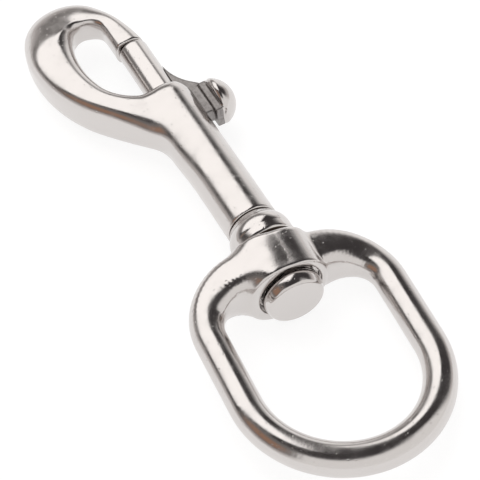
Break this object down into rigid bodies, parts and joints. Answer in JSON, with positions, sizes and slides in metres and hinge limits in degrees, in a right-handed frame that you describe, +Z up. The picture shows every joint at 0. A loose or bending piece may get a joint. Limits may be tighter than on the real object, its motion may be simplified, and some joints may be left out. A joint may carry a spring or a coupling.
{
  "type": "swivel eye bolt snap",
  "caption": "Cast stainless snap hook with a spring-loaded sliding bolt, a thumb knob and a large D-shaped swivel eye for webbing or rope.",
  "frame": {"origin": "under the middle of the snap, on the surface it lies on, about 1.5 mm beside the swivel axis", "axes": "+Y along the swivel axis from the eye to the hook, +X towards the thumb knob, +Z up out of the hook's plane"},
  "size_m": [0.0394, 0.1184, 0.0136],
  "materials": {
    "polished_steel": "bright polished stainless casting",
    "bolt_steel": "bright polished bar",
    "cast_steel": "polished knob on an as-cast web",
    "spring_steel": "drawn spring wire",
    "collar_steel": "polished, with a rough dark seam",
    "stud_steel": "polished forged head",
    "eye_steel": "bright polished stainless casting"
  },
  "bodies": {
    "body": {"hook_body": "polished_steel", "end_collar": "collar_steel", "swivel_stud": "stud_steel", "return_spring": "spring_steel"},
    "bolt": {"plunger": "bolt_steel", "thumb_stud": "cast_steel"},
    "eye": {"swivel_eye": "eye_steel"}
  },
  "joints": [
    {"name": "plunger_slide", "type": "slide", "parent": "body", "child": "bolt", "axis": [0, -1, 0], "range_m": [0, 0.0138], "stiffness_N_per_m": 450, "springref_m": -0.012, "deforming": ["return_spring"]},
    {"name": "eye_swivel", "type": "hinge", "parent": "body", "child": "eye", "pos_m": [0.00154, -0.00921, 0.0068], "axis": [0.0645, 0.9979, 0], "continuous": true}
  ]
}
